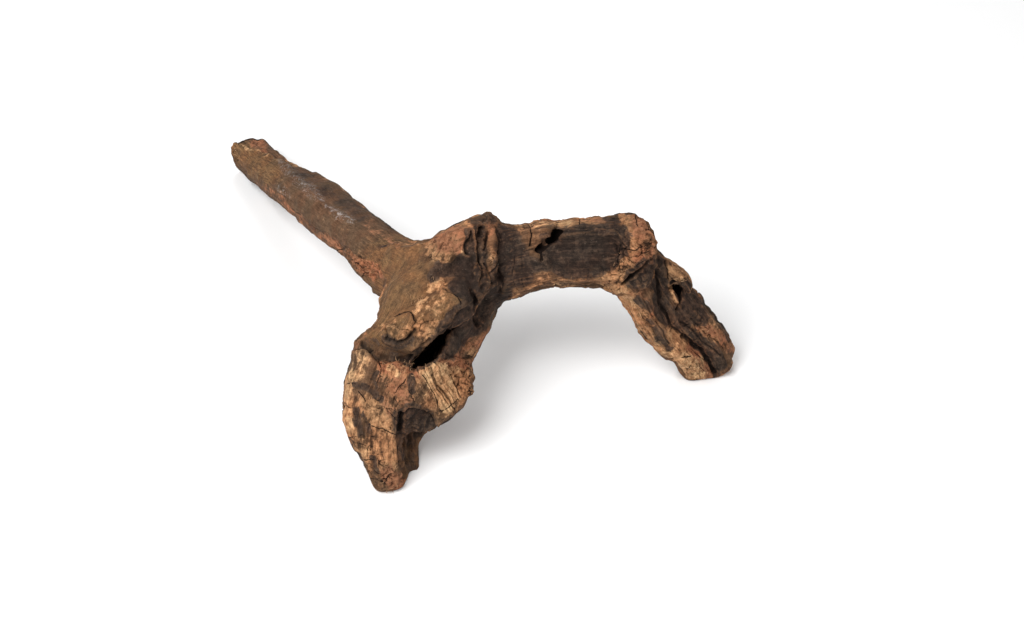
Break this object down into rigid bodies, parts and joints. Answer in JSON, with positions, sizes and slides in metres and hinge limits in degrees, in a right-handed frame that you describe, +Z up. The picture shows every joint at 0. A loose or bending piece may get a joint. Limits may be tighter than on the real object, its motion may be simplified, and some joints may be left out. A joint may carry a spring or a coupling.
{
  "type": "piece of driftwood",
  "caption": "Weathered branching piece of driftwood: a thick leaning trunk, a flat spar that runs down to a broken tip, and an arm that arches over to a forked leg.",
  "frame": {"origin": "middle of the bounding box in plan, at the level of the flat ends that the piece stands on", "axes": "+Z up, +X towards the forked leg, +Y away from the front foot towards the spar's tip"},
  "size_m": [0.2786, 0.2776, 0.1038],
  "materials": {
    "wood": "dry weathered wood, matt, brown and tan with charcoal-dark hollows and reddish broken ends"
  },
  "bodies": {
    "root": {"driftwood": "wood"}
  },
  "joints": []
}
